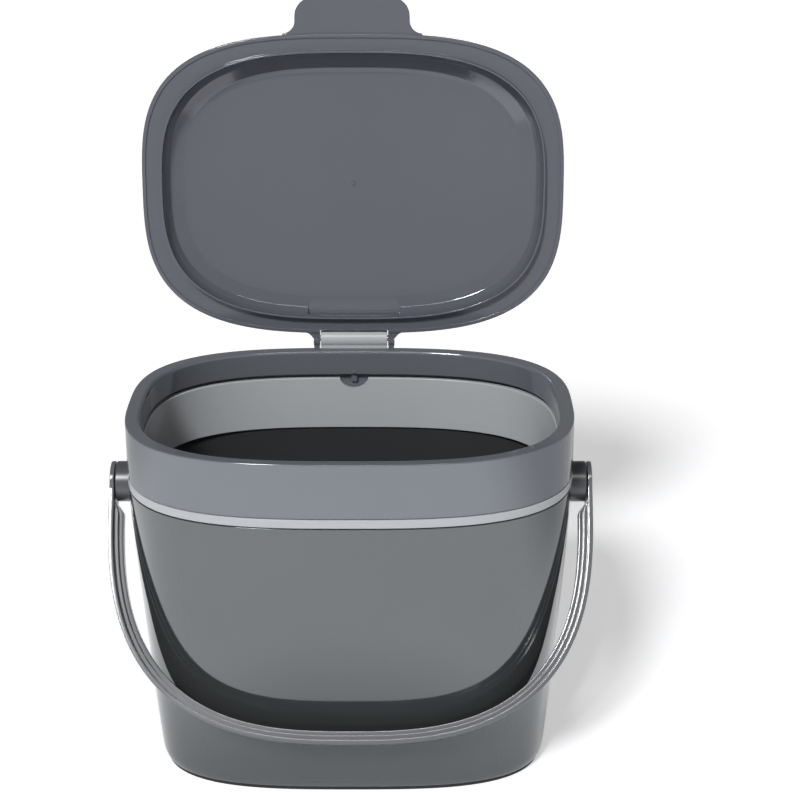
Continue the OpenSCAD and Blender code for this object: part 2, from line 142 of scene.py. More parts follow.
class LidSizes(bpy.types.PropertyGroup):
    """The lid, its tab and its hinge ears, sized for the closed lid."""

    square: squareness("Squareness", "Squareness of the lid's outline", 3.12)
    height: length("Height", "Height of the lid from its edge to its top", 0.0132)
    side_h: length("Side height", "Height of the lid's upright side", 0.006)
    wall: length("Wall", "Wall thickness", 0.0018)
    channel_h: length("Channel depth", "Depth of the channel between edge and skirt", 0.0008)
    skirt_drop: length("Skirt drop", "How far the skirt reaches into the mouth", 0.0031)
    skirt_t: length("Skirt thickness", "Thickness of the skirt", 0.0009)
    skirt_gap: length("Skirt gap", "Gap between skirt and mouth", 0.0024)
    gap: length("Lid gap", "Gap between the closed lid and the rim", 0.0004)
    tab_w: length("Tab width", "Width of the finger tab", 0.055)
    tab_l: length("Tab length", "Length of the finger tab", 0.017)
    tab_t: length("Tab thickness", "Thickness of the finger tab", 0.0026)
    tab_r: length("Tab corner", "Corner radius of the tab", 0.009)
    tab_fillet: length("Tab fillet", "Fillet between tab and lid", 0.006)
    ear_t: length("Ear width", "Width of each hinge ear", 0.0032)
    ear_flare: length("Ear flare", "How far each ear widens at its root", 0.0034)
    ear_gap: length("Ear gap", "Gap between ear and knuckle", 0.0004)
    heel_reach: length("Heel reach", "Reach of the heels that stop the open lid", 0.0074)
    bay_in: length("Bay depth", "How far the edge is cut back between the ears", 0.0016)
    pocket_w: length("Pocket width", "Width of the pocket inside the dish at the hinge", 0.0457)
    pocket_h: length("Pocket height", "Height of the pocket's flat bottom above the lid's edge", 0.007)
    mark_r: length("Mark radius", "Radius of the ejector marks in the channel", 0.0021)
    marks: IntProperty(name="Marks", description="Number of ejector marks", default=10, min=4, max=20)


class HandleSizes(bpy.types.PropertyGroup):
    """The bail handle and its hubs."""

    reach: length("Reach", "From the pivot to the outside of the grip", 0.1222)
    square: squareness("Squareness", "Squareness of the handle's curve", 2.72)
    straight: length("Straight", "Straight part of the arms below the pivot", 0.012)
    strap_w: length("Strap width", "Width of the strap", 0.0175)
    strap_t: length("Strap thickness", "Thickness of the strap", 0.00215)
    rib_h: length("Rib height", "Height of the rib inside the strap", 0.0041)
    rib_w: length("Rib width", "Width of the rib at its root", 0.011)
    crest_w: length("Rib crest", "Width of the rib at its crest", 0.007)
    edge: length("Edge rounding", "Rounding of the strap's edges", 0.0005)
    arm_gap: length("Arm gap", "Gap between hub and arm", 0.0005)
    hub_d: length("Hub diameter", "Diameter of the hubs and the handle's ends", 0.0191)
    stud_d: length("Stud diameter", "Diameter of the studs in the hubs", 0.008)
    lean: FloatProperty(name="Lean", description="Angle of the resting handle from straight down",
                        default=math.radians(33.53), unit="ROTATION")


class Finishes(bpy.types.PropertyGroup):
    """Colours of the plastics."""

    bucket: colour("Bucket", "Pearl charcoal of the bucket", (0.125, 0.135, 0.141))
    collar: colour("Collar", "Blue-grey of the collar", (0.188, 0.201, 0.227))
    lid: colour("Lid", "Charcoal of the lid", (0.134, 0.143, 0.168))
    accent: colour("Accent", "Light grey of the accent ring and hinge", (0.50, 0.52, 0.54))
    handle: colour("Handle", "Dark grey of the handle", (0.145, 0.152, 0.163))
    hub: colour("Hubs", "Dark grey of the hubs", (0.085, 0.091, 0.102))
    foot: colour("Foot", "Black rubber of the foot ring", (0.012, 0.012, 0.013))


# Nodes as expressions
class Wire:
    """A node's output that takes part in Python arithmetic, in shader and geometry trees alike."""

    def __init__(self, tree, socket):
        self.tree, self.socket = tree, socket

    def node(self, kind, feed=None, out=0, **settings):
        """Adds any other node to this wire's tree and returns one of its outputs."""
        return add_node(self.tree, kind, feed, out, **settings)

    def math(self, operation, *values):
        return self.node("ShaderNodeMath", dict(enumerate(values)), operation=operation)

    def __add__(self, other):
        return self.math("ADD", self, other)

    def __sub__(self, other):
        return self.math("SUBTRACT", self, other)

    def __rsub__(self, other):
        return self.math("SUBTRACT", other, self)

    def __mul__(self, other):
        return self.math("MULTIPLY", self, other)

    def __truediv__(self, other):
        return self.math("DIVIDE", self, other)

    def __rtruediv__(self, other):
        return self.math("DIVIDE", other, self)

    def __pow__(self, other):
        return self.math("POWER", self, other)

    def __abs__(self):
        return self.math("ABSOLUTE", self)

    __radd__, __rmul__ = __add__, __mul__

    def scaled(self, factor):
        """This vector times a number."""
        return self.node("ShaderNodeVectorMath", {0: self, "Scale": factor}, operation="SCALE")

    def plus(self, other):
        """This vector plus another."""
        return self.node("ShaderNodeVectorMath", {0: self, 1: other}, operation="ADD")


def add_node(tree, kind, feed=None, out=0, **settings):
    """Adds a node, feeds its sockets from wires or constants, and returns an output as a Wire."""
    node = tree.nodes.new(kind)
    for key, value in settings.items():
        setattr(node, key, value)
    for key, value in (feed or {}).items():
        if isinstance(value, Wire):
            tree.links.new(value.socket, node.inputs[key])
        else:
            node.inputs[key].default_value = value
    return Wire(tree, node.outputs[out])


def geometry_tree(name, inputs):
    """A new Geometry Nodes tree with named inputs, and a dictionary of their wires."""
    tree = bpy.data.node_groups.new(name, "GeometryNodeTree")
    tree.is_modifier = True
    tree.interface.new_socket("Geometry", in_out="INPUT", socket_type="NodeSocketGeometry")
    for label, kind in inputs.items():
        tree.interface.new_socket(label, in_out="INPUT", socket_type="NodeSocket" + kind)
    tree.interface.new_socket("Geometry", in_out="OUTPUT", socket_type="NodeSocketGeometry")
    entry = tree.nodes.new("NodeGroupInput")
    return tree, {socket.name: Wire(tree, socket) for socket in entry.outputs if socket.name}


def end_tree(tree, geometry, material):
    """Ends a tree in Realize Instances and Set Material."""
    real = geometry.node("GeometryNodeRealizeInstances", {"Geometry": geometry})
    coated = real.node("GeometryNodeSetMaterial", {"Geometry": real, "Material": material})
    leave = tree.nodes.new("NodeGroupOutput")
    tree.links.new(coated.socket, leave.inputs[0])


def attribute(wire, name, kind="FLOAT"):
    return wire.node("GeometryNodeInputNamedAttribute", {"Name": name}, data_type=kind)


def store(geometry, name, value, kind="FLOAT"):
    feed = {"Geometry": geometry, "Name": name, "Value": value}
    return geometry.node("GeometryNodeStoreNamedAttribute", feed, data_type=kind, domain="POINT")


def superellipse_radius(across, along, half_w, half_d, square):
    """Distance of a superellipse from its middle in the direction (across, along)."""
    return (abs(across / half_w) ** square + abs(along / half_d) ** square) ** (-1 / square)


def loft_tree():
    """Sweeps a section round a superellipse. Each point of the section carries the outline that
    it follows: half width, half depth, squareness and height."""
    tree, given = geometry_tree("Superellipse loft", {
        "Rail half width": "Float", "Rail half depth": "Float", "Rail squareness": "Float",
        "Around": "Int", "Material": "Material"})
    start = given["Geometry"]
    circle = start.node("GeometryNodeCurvePrimitiveCircle", {"Resolution": 1440, "Radius": 1.0})
    place = start.node("GeometryNodeInputPosition")
    split = place.node("ShaderNodeSeparateXYZ", {0: place})
    x, y = split, Wire(tree, split.socket.node.outputs[1])
    radius = superellipse_radius(x, y, given["Rail half width"], given["Rail half depth"],
                                 given["Rail squareness"])
    rail = circle.node("GeometryNodeSetPosition", {"Geometry": circle, "Position": place.scaled(radius)})
    rail = rail.node("GeometryNodeResampleCurve", {"Curve": rail, "Count": given["Around"]}, mode="COUNT")
    heading = place.node("ShaderNodeVectorMath", {0: place}, operation="NORMALIZE")
    rail = store(rail, "heading", heading, "FLOAT_VECTOR")
    section = start.node("GeometryNodeMeshToCurve", {"Mesh": start})
    shell = rail.node("GeometryNodeCurveToMesh", {"Curve": rail, "Profile Curve": section})
    heading = attribute(shell, "heading", "FLOAT_VECTOR")
    split = heading.node("ShaderNodeSeparateXYZ", {0: heading})
    x, y = split, Wire(tree, split.socket.node.outputs[1])
    radius = superellipse_radius(x, y, attribute(shell, "half_w"), attribute(shell, "half_d"),
                                 attribute(shell, "square"))
    place = heading.node("ShaderNodeCombineXYZ", {
        "X": x * radius, "Y": y * radius, "Z": attribute(shell, "height")})
    shell = shell.node("GeometryNodeSetPosition", {"Geometry": shell, "Position": place})
    shell = shell.node("GeometryNodeMergeByDistance", {"Geometry": shell, "Distance": 0.00003})
    end_tree(tree, shell, given["Material"])
    return tree


def sweep_tree():
    """Sweeps a section along the handle's curve. A section point carries how far it lies in from
    the outer face, how much of the rib's height it adds, and its place across the strap."""
    tree, given = geometry_tree("Handle sweep", {
        "Rib height": "Float", "Steps": "Int", "Turn": "Rotation", "Pivot": "Vector",
        "Material": "Material"})
    start = given["Geometry"]
    is_rail = attribute(start, "is_rail", "BOOLEAN")
    parts = start.node("GeometryNodeSeparateGeometry", {"Geometry": start, "Selection": is_rail})
    others = Wire(tree, parts.socket.node.outputs[1])
    rail = parts.node("GeometryNodeMeshToCurve", {"Mesh": parts})
    rail = rail.node("GeometryNodeResampleCurve", {"Curve": rail, "Count": given["Steps"]}, mode="COUNT")
    rail = store(rail, "spine", rail.node("GeometryNodeInputPosition"), "FLOAT_VECTOR")
    rail = store(rail, "along", rail.node("GeometryNodeInputTangent"), "FLOAT_VECTOR")
    for name in ("across", "depth", "rib_share"):
        rail = rail.node("GeometryNodeRemoveAttribute", {"Geometry": rail, "Name": name})
    section = others.node("GeometryNodeMeshToCurve", {"Mesh": others})
    strap = rail.node("GeometryNodeCurveToMesh", {"Curve": rail, "Profile Curve": section, "Fill Caps": True})
    across = Vector((0, 0, 1))
    inward = strap.node("ShaderNodeVectorMath", {0: across, 1: attribute(strap, "along", "FLOAT_VECTOR")},
                        operation="CROSS_PRODUCT")
    rib = attribute(strap, "rib_share") * attribute(strap, "rib") * given["Rib height"]
    depth = attribute(strap, "depth") + rib
    place = attribute(strap, "spine", "FLOAT_VECTOR").plus(inward.scaled(depth))
    lift = strap.node("ShaderNodeCombineXYZ", {"Z": attribute(strap, "across")})
    strap = strap.node("GeometryNodeSetPosition", {"Geometry": strap, "Position": place.plus(lift)})
    strap = strap.node("GeometryNodeTransform", {
        "Geometry": strap, "Translation": given["Pivot"], "Rotation": given["Turn"]})
    end_tree(tree, strap, given["Material"])
    return tree


def marks_tree():
    """Sets a low round mark, as an ejector pin leaves, on each point."""
    tree, given = geometry_tree("Ejector marks", {
        "Radius": "Float", "Rise": "Float", "Material": "Material"})
    start = given["Geometry"]
    spots = start.node("GeometryNodeMeshToPoints", {"Mesh": start})
    mark = start.node("GeometryNodeMeshCylinder", {
        "Vertices": 28, "Radius": given["Radius"], "Depth": given["Rise"]})
    placed = spots.node("GeometryNodeInstanceOnPoints", {"Points": spots, "Instance": mark})
    end_tree(tree, placed, given["Material"])
    return tree


def run_tree(obj, tree, values):
    """Evaluates a tree on an object and leaves its result as a plain mesh."""
    modifier = obj.modifiers.new("shape", "NODES")
    modifier.node_group = tree
    names = {item.name: item.identifier for item in tree.interface.items_tree
             if item.item_type == "SOCKET" and item.in_out == "INPUT"}
    for name, value in values.items():
        modifier[names[name]] = value
    return bake(obj)


# Meshes
def bake(obj):
    """Turns an object's modifiers into plain mesh."""
    bpy.context.view_layer.update()
    graph = bpy.context.evaluated_depsgraph_get()
    graph.update()
    mesh = bpy.data.meshes.new_from_object(obj.evaluated_get(graph), depsgraph=graph)
    old = obj.data
    obj.modifiers.clear()
    obj.data = mesh
    bpy.data.meshes.remove(old)
    mesh.name = obj.name
    return obj


def new_object(name, points, edges=(), faces=()):
    mesh = bpy.data.meshes.new(name)
    mesh.from_pydata([tuple(p) for p in points], edges, faces)
    obj = bpy.data.objects.new(name, mesh)
    bpy.context.collection.objects.link(obj)
    return obj


def set_values(mesh, name, values, kind="FLOAT"):
    mesh.attributes.new(name, kind, "POINT").data.foreach_set("value", values)


def soften(path, closed=False, steps=5):
    """Rounds the corners of a section. path holds (ring, radius) pairs, and a ring is (half width,
    half depth, squareness, height)."""
    rings = [np.array(ring, float) for ring, radius in path]
    smooth = []
    for i, (ring, radius) in enumerate(path):
        here = rings[i]
        if radius == 0 or (not closed and i in (0, len(path) - 1)):
            smooth.append(here)
            continue
        ends = []
        for beside in (rings[i - 1], rings[(i + 1) % len(rings)]):
            step = beside - here
            span = math.hypot(step[0], step[3]) or 1
            ends.append(here + step * min(radius / span, 0.48))
        for t in np.linspace(0, 1, steps):
            smooth.append((1 - t) ** 2 * ends[0] + 2 * t * (1 - t) * here + t * t * ends[1])
    return smooth


def spline(knots, per=6):
    """A smooth curve through knots of any dimension, ends included."""
    knots = [np.array(k, float) for k in knots]
    before, after = 2 * knots[0] - knots[1], 2 * knots[-1] - knots[-2]
    row = [before, *knots, after]
    smooth = [knots[0]]
    for i in range(1, len(row) - 2):
        a, b, c, d = row[i - 1:i + 3]
        for t in np.linspace(0, 1, per + 1)[1:]:
            smooth.append(0.5 * (2 * b + (c - a) * t + (2 * a - 5 * b + 4 * c - d) * t * t
                                 + (3 * b - a - 3 * c + d) * t ** 3))
    return smooth


def loft(name, rings, rail, material, closed=False, around=256):
    """A shell through a section of rings, made by the loft tree."""
    rings = np.array(rings, float)
    count = len(rings)
    edges = [(i, i + 1) for i in range(count - 1)] + ([(count - 1, 0)] if closed else [])
    points = np.stack([rings[:, 0], np.zeros(count), rings[:, 3]], 1)
    obj = new_object(name, points, edges)
    for column, label in enumerate(("half_w", "half_d", "square", "height")):
        set_values(obj.data, label, rings[:, column])
    half_w, half_d, square = rail
    run_tree(obj, TREES["loft"], {
        "Rail half width": half_w, "Rail half depth": half_d, "Rail squareness": square,
        "Around": around, "Material": material})
    return face_out(obj)


def face_out(obj):
    """Points a closed mesh's faces outwards."""
    shape = bmesh.new()
    shape.from_mesh(obj.data)
    bmesh.ops.remove_doubles(shape, verts=shape.verts, dist=1e-6)
    bmesh.ops.recalc_face_normals(shape, faces=shape.faces)
    shape.to_mesh(obj.data)
    shape.free()
    return obj


def prism(name, outline, low, high, axis="Z", edge=0.0, segments=2):
    """A closed solid from a flat outline, drawn along an axis, with its long edges rounded.
    Along X the outline's points are (y, z)."""
    shape = bmesh.new()
    for level in (low, high):
        for u, v in outline:
            shape.verts.new((level, u, v) if axis == "X" else (u, v, level))
    shape.verts.ensure_lookup_table()
    count = len(outline)
    shape.faces.new(shape.verts[:count])
    shape.faces.new(shape.verts[count:])
    for i in range(count):
        j = (i + 1) % count
        shape.faces.new([shape.verts[k] for k in (i, j, count + j, count + i)])
    bmesh.ops.recalc_face_normals(shape, faces=shape.faces)
    if edge:
        sharp = [e for e in shape.edges if e.calc_face_angle(0) > math.radians(30)]
        bmesh.ops.bevel(shape, geom=sharp, offset=edge, segments=segments, profile=0.5,
                        affect="EDGES", clamp_overlap=True)
    obj = new_object(name, [])
    shape.to_mesh(obj.data)
    shape.free()
    return obj


def rectangle(u_low, u_high, v_low, v_high):
    """A rectangle's outline for a prism."""
    return [(u_low, v_low), (u_high, v_low), (u_high, v_high), (u_low, v_high)]


def arc(u, v, radius, start, stop, steps):
    """Points along a circle's arc, from one angle to another."""
    return [(u + radius * math.cos(t), v + radius * math.sin(t)) for t in np.linspace(start, stop, steps)]


def turned(name, profile, x_axis_at, steps=96):
    """A solid of revolution about a line along X. profile holds (x, radius), and starts and ends
    on the axis."""
    y, z = x_axis_at
    points, faces = [], []
    for x, radius in profile:
        for k in range(steps):
            angle = 2 * math.pi * k / steps
            points.append((x, y + radius * math.cos(angle), z + radius * math.sin(angle)))
    for i in range(len(profile) - 1):
        for k in range(steps):
            m = (k + 1) % steps
            faces.append((i * steps + k, i * steps + m, (i + 1) * steps + m, (i + 1) * steps + k))
    return face_out(new_object(name, points, faces=faces))


def round_profile(corners, steps=4):
    """Rounds the corners of a turned profile given as (x, radius, rounding)."""
    path = [((x, 0, 0, r), rounding) for x, r, rounding in corners]
    return [(p[0], max(p[3], ON_AXIS)) for p in soften(path, steps=steps)]


def rod(name, start, stop, radius, x_axis_at, steps=96):
    """A plain cylinder along X."""
    profile = [(start, ON_AXIS), (start, radius), (stop, radius), (stop, ON_AXIS)]
    return turned(name, profile, x_axis_at, steps)


def button(name, start, stop, radius, rounding, x_axis_at, steps=96):
    """A cylinder along X with roundings at its start and its stop."""
    first, last = rounding
    profile = [(start, ON_AXIS, 0), (start, radius, first), (stop, radius, last), (stop, ON_AXIS, 0)]
    return turned(name, round_profile(profile), x_axis_at, steps)


def combine(obj, tool, operation="DIFFERENCE"):
    """Cuts a tool from an object or adds it, and removes the tool."""
    modifier = obj.modifiers.new("combine", "BOOLEAN")
    modifier.operation, modifier.object, modifier.solver = operation, tool, "EXACT"
    bake(obj)
    bpy.data.objects.remove(tool)
    return obj


def join(obj, *others):
    """Puts other objects' meshes into obj."""
    shape = bmesh.new()
    for each in (obj, *others):
        shape.from_mesh(each.data)
    shape.to_mesh(obj.data)
    shape.free()
    for each in others:
        bpy.data.objects.remove(each)
    return obj


def mirrored(obj, name):
    """A copy of obj on the other side of the YZ plane."""
    copy = obj.copy()
    copy.data = obj.data.copy()
    copy.name = copy.data.name = name
    bpy.context.collection.objects.link(copy)
    copy.data.transform(Matrix.Scale(-1, 4, (1, 0, 0)))
    return face_out(copy)


def dress(obj, material, body, node):
    """Shades a finished piece, gives it its material and hangs it on its body."""
    mesh = obj.data
    mesh.materials.clear()
    mesh.materials.append(material)
    shape = bmesh.new()
    shape.from_mesh(mesh)
    for face in shape.faces:
        face.smooth = True
        face.material_index = 0
    for e in shape.edges:
        e.smooth = len(e.link_faces) != 2 or e.calc_face_angle(0) < math.radians(33)
    shape.to_mesh(mesh)
    shape.free()
    for name in [a.name for a in mesh.attributes if a.name in SCAFFOLD]:
        mesh.attributes.remove(mesh.attributes[name])
    weights = obj.modifiers.new("flat faces stay flat", "WEIGHTED_NORMAL")
    weights.keep_sharp, weights.weight = True, 80
    bake(obj)
    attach(obj, body)
    if node:
        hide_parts(node)
    return obj


SCAFFOLD = {"heading", "half_w", "half_d", "square", "height", "spine", "along", "rib", "rib_share",
            "depth", "across", "is_rail"}
TREES = {}


def cleared_tree(owner):
    """The emptied node tree of a material or a world."""
    owner.use_nodes = True
    owner.node_tree.nodes.clear()
    return owner.node_tree


# Finishes
def plastic(name, tint, rough, grain=0.02, gloss=0.5, metal=0.0, cloud=0.05):
    """Injection-moulded plastic: slow changes of tone and gloss where the melt flowed, and a fine
    grain in the surface."""
    material = bpy.data.materials.new(name)
    tree = cleared_tree(material)
    shader = tree.nodes.new("ShaderNodeBsdfPrincipled")
    leave = tree.nodes.new("ShaderNodeOutputMaterial")
    tree.links.new(shader.outputs[0], leave.inputs[0])
    place = add_node(tree, "ShaderNodeTexCoord", out="Object")
    flow = place.node("ShaderNodeTexNoise", {"Vector": place, "Scale": 14.0, "Detail": 3.0})
    grainy = place.node("ShaderNodeTexNoise", {"Vector": place, "Scale": 900.0, "Detail": 2.0})
    tone = 1.0 + (flow - 0.5) * (2 * cloud)
    tinted = place.node("ShaderNodeVectorMath", {0: Vector(tint), "Scale": tone}, operation="SCALE")
    shader.inputs["Metallic"].default_value = metal
    shader.inputs["Specular IOR Level"].default_value = gloss
    tree.links.new(tinted.socket, shader.inputs["Base Color"])
    tree.links.new((rough + (flow - 0.5) * (0.3 * rough)).socket, shader.inputs["Roughness"])
    relief = place.node("ShaderNodeBump", {"Height": grainy, "Strength": grain, "Distance": 0.0002},
                        out="Normal")
    tree.links.new(relief.socket, shader.inputs["Normal"])
    return material


# Shared shapes
def caddy():
    """The scene's size and colour groups."""
    return bpy.context.scene.caddy


def shoulder_z():
    """Height of the bucket's upper edge, below the accent ring."""
    b, c = caddy().bucket, caddy().collar
    return b.rim_h - c.height - c.gap_top - c.ring_h - c.gap_low


def wall_ring(height, inset=0.0):
    """The bucket's outer wall at a height, moved in by inset."""
    b = caddy().bucket
    rise = (height - b.foot_h) / (shoulder_z() - b.foot_h)
    swell = b.belly * 4 * rise * (1 - rise)
    blend = lambda low, high: low + (high - low) * rise
    return (blend(b.base_w, b.rim_w) / 2 + swell - inset, blend(b.base_d, b.rim_d) / 2 + swell - inset,
            blend(b.base_square, b.rim_square), height)


def rim_ring(inset, height, square=None):
    """An outline parallel to the rim."""
    b = caddy().bucket
    return (b.rim_w / 2 - inset, b.rim_d / 2 - inset, square or b.rim_square, height)


def mouth_ring(grow, height):
    """An outline parallel to the mouth, grown by grow."""
    b, c = caddy().bucket, caddy().collar
    return (b.rim_w / 2 - c.rim_side + grow, b.rim_d / 2 - c.rim_front + grow, b.rim_square, height)


def rim_rail():
    b = caddy().bucket
    return b.rim_w / 2, b.rim_d / 2, b.rim_square


# Operators
class CADDY_OT_bucket(bpy.types.Operator):
    """Builds the tapered bucket with its smooth inside, and the foot ring"""

    bl_idname = "caddy.bucket"
    bl_label = "Bucket and Foot"

    def execute(self, context):
        b, c, look = caddy().bucket, caddy().collar, caddy().finishes
        paint = plastic("bucket_plastic", look.bucket, 0.07, gloss=0.5, metal=0.7)
        shoulder = shoulder_z()
        floor_z = b.foot_h + b.floor_t
        foot_in = b.edge_in + 0.0002 + (b.foot_w - b.tongue_t) / 2
        base = lambda inset, z: (b.base_w / 2 - inset, b.base_d / 2 - inset, b.base_square, z)
        groove = b.foot_h + b.tongue_h + 0.0001
        rings = [(MIDDLE, MIDDLE, 2, b.foot_h), base(0.035, b.foot_h)]
        rings += soften([(base(foot_in + b.tongue_t + 0.0005, b.foot_h), 0),
                         (base(foot_in + b.tongue_t + 0.0001, b.foot_h), 0),
                         (base(foot_in + b.tongue_t + 0.0001, groove), 0),
                         (base(foot_in - 0.0001, groove), 0), (base(foot_in - 0.0001, b.foot_h), 0)])
        for angle in np.linspace(0, math.pi / 2, 9):
            z = b.foot_h + b.edge_h * (1 - math.cos(angle))
            rings.append(wall_ring(z, b.edge_in * (1 - math.sin(angle))))
        rings += [wall_ring(z) for z in np.linspace(b.foot_h + b.edge_h, shoulder - 0.0006, 28)[1:]]
        rings += soften([(wall_ring(shoulder - 0.0006), 0), (wall_ring(shoulder), 0.0004),
                         (wall_ring(shoulder, b.wall), 0.0004), (wall_ring(shoulder - 0.002, b.wall), 0)])[1:]
        rings += [wall_ring(z, b.wall) for z in np.linspace(shoulder - 0.002, floor_z + b.inside_r, 28)[1:]]
        for angle in np.linspace(0, math.pi / 2, 14)[1:]:
            z = floor_z + b.inside_r * (1 - math.sin(angle))
            rings.append(wall_ring(z, b.wall + b.inside_r * (1 - math.cos(angle))))
        half_w, half_d, square, z = rings[-1]
        rings += [(half_w - 0.012, half_d - 0.012, square - 0.3, z), (MIDDLE, MIDDLE, 2, z)]
        bucket = loft("bucket_shell", rings, rim_rail(), paint, around=240)

        seat, clear = HUB_LOW.x + SPIGOT_L, 0.012
        outer, inner = caddy().handle.hub_d / 2 + c.part_gap, SPIGOT_R + SPIGOT_GAP
        hole = seat - SPIGOT_L - 2 * SPIGOT_GAP
        for side in (1, -1):
            reach = [(hole, ON_AXIS), (hole, inner), (seat, inner), (seat, outer),
                     (seat + clear, outer), (seat + clear, ON_AXIS)]
            combine(bucket, turned("seat", [(side * x, r) for x, r in reach], (PIVOT.y, PIVOT.z)))
        dress(bucket, paint, "base", "bucket")

        rubber = plastic("foot_rubber", look.foot, 0.62, grain=0.2, cloud=0.1)
        inset = b.edge_in + 0.0002
        foot = soften([(base(inset, 0), 0.0006), (base(inset, b.foot_h), 0.0002),
                       (base(foot_in, b.foot_h), 0), (base(foot_in, b.foot_h + b.tongue_h), 0.0003),
                       (base(foot_in + b.tongue_t, b.foot_h + b.tongue_h), 0.0003),
                       (base(foot_in + b.tongue_t, b.foot_h), 0), (base(inset + b.foot_w, b.foot_h), 0.0002),
                       (base(inset + b.foot_w, 0), 0.0006)], closed=True, steps=4)
        band = loft("foot_band", foot, rim_rail(), rubber, closed=True, around=192)
        dress(band, rubber, "base", "foot_ring")
        return {"FINISHED"}


class CADDY_OT_collar(bpy.types.Operator):
    """Builds the collar with its flat rim and inner skirt"""

    bl_idname = "caddy.collar"
    bl_label = "Collar"

    def execute(self, context):
        b, c, look = caddy().bucket, caddy().collar, caddy().finishes
        paint = plastic("collar_plastic", look.collar, 0.08, gloss=0.5, metal=0.25)
        top, low = b.rim_h, b.rim_h - c.height
        skirt = top - c.skirt_h
        under = top - c.rim_t
        rings = soften([
            (rim_ring(0, low), 0.0003), (rim_ring(0, (low + top) / 2), 0), (rim_ring(0, top), 0.0007),
            (mouth_ring(0, top), c.mouth_r), (mouth_ring(0, skirt), 0.0004),
            (mouth_ring(c.skirt_t, skirt), 0.0004), (mouth_ring(c.skirt_t, under), 0),
            (rim_ring(c.wall, under), 0), (rim_ring(c.wall, low), 0.0003)], closed=True, steps=6)
        collar = loft("collar_shell", rings, rim_rail(), paint, closed=True)
        half = c.knuckle_w / 2 + c.part_gap
        back = b.rim_d / 2 - c.recess
        combine(collar, prism("recess", rectangle(-half, half, back, back + 0.01), low - 0.001, top + 0.001))
        front, rear = b.rim_d / 2 - c.neck_in - 0.0005, b.rim_d / 2 - c.wall + 0.0003
        half = c.key_w / 2
        key = prism("key", rectangle(-half, half, front, rear),
                    skirt - c.notch_r * 0.6, skirt + 0.001, edge=0.0004)
        combine(collar, key, "UNION")
        gate = button("gate", 0, 0.0009, 0.0007, (0.0003, 0.0003), (0, 0), 20)
        gate.data.transform(Matrix.Translation((0, mouth_ring(0, 0)[1] + 0.0004, skirt + 0.0012))
                            @ Matrix.Rotation(-math.pi / 2, 4, "Z"))
        join(collar, gate)
        dress(collar, paint, "base", "collar")
        return {"FINISHED"}


class CADDY_OT_accent(bpy.types.Operator):
    """Builds the accent ring with the riser and the hinge knuckle, and finishes the hinge pin"""

    bl_idname = "caddy.accent"
    bl_label = "Accent Ring and Hinge"

    def execute(self, context):
        b, c, look = caddy().bucket, caddy().collar, caddy().finishes
        paint = plastic("accent_plastic", look.accent, 0.25, gloss=0.5)
        collar_z, shoulder = b.rim_h - c.height, shoulder_z()
        low, high = shoulder + c.gap_low, shoulder + c.gap_low + c.ring_h
        sleeve_z, neck_z = shoulder - c.sleeve_drop, b.rim_h - c.skirt_h - c.neck_gap
        half_w, half_d, _, _ = wall_ring(sleeve_z, b.wall + c.part_gap)
        sleeve = lambda z: (half_w, half_d, b.rim_square, z)
        rings = soften([
            (rim_ring(0, low), 0.0004), (rim_ring(0, high), 0.0004), (rim_ring(c.core_in, high), 0),
            (rim_ring(c.core_in, collar_z), 0), (rim_ring(c.neck_in, collar_z), 0),
            (rim_ring(c.neck_in, neck_z), 0.0003), (mouth_ring(0, neck_z), 0.0006),
            (mouth_ring(0, sleeve_z), 0.0005), (sleeve(sleeve_z), 0.0003), (sleeve(shoulder), 0),
            (rim_ring(c.core_in, shoulder), 0), (rim_ring(c.core_in, low), 0)], closed=True)
        ring = loft("accent_band", rings, rim_rail(), paint, closed=True)
        start, stop = mouth_ring(-0.002, 0)[1], b.rim_d / 2 - c.recess - 0.0004
        notch = rod("notch", start, stop, c.notch_r, (0, 0), 64)
        notch.data.transform(Matrix.Translation((0, 0, b.rim_h - c.skirt_h))
                             @ Matrix.Rotation(math.pi / 2, 4, "Z"))
        combine(ring, notch)
        front = b.rim_d / 2 - c.recess + 0.0001
        rear = front + c.riser_t
        radius = c.knuckle_d / 2
        upper = b.rim_d / 2 + c.part_gap
        outline = [(front, low), (rear, low)]
        start, stop = -math.acos((rear - PIN.y) / radius), math.pi + math.acos((PIN.y - upper) / radius)
        outline += arc(PIN.y, PIN.z, radius, start, stop, 40)
        outline += [(upper, b.rim_h - 0.001), (front, b.rim_h - 0.001)]
        half = c.knuckle_w / 2
        knuckle = prism("knuckle", outline, -half, half, "X", edge=0.00035)
        bore = c.pin_d / 2 + 0.00005
        combine(knuckle, rod("bore", -half - 0.001, half + 0.001, bore, (PIN.y, PIN.z), 48))
        combine(ring, knuckle, "UNION")
        dress(ring, paint, "base", "accent_ring")
        steel = plastic("pin_steel", (0.6, 0.6, 0.62), 0.25, metal=1.0, grain=0.01)
        pin = frame["nodes"]["hinge_pin"]
        pin.data.materials.clear()
        pin.data.materials.append(steel)
        return {"FINISHED"}


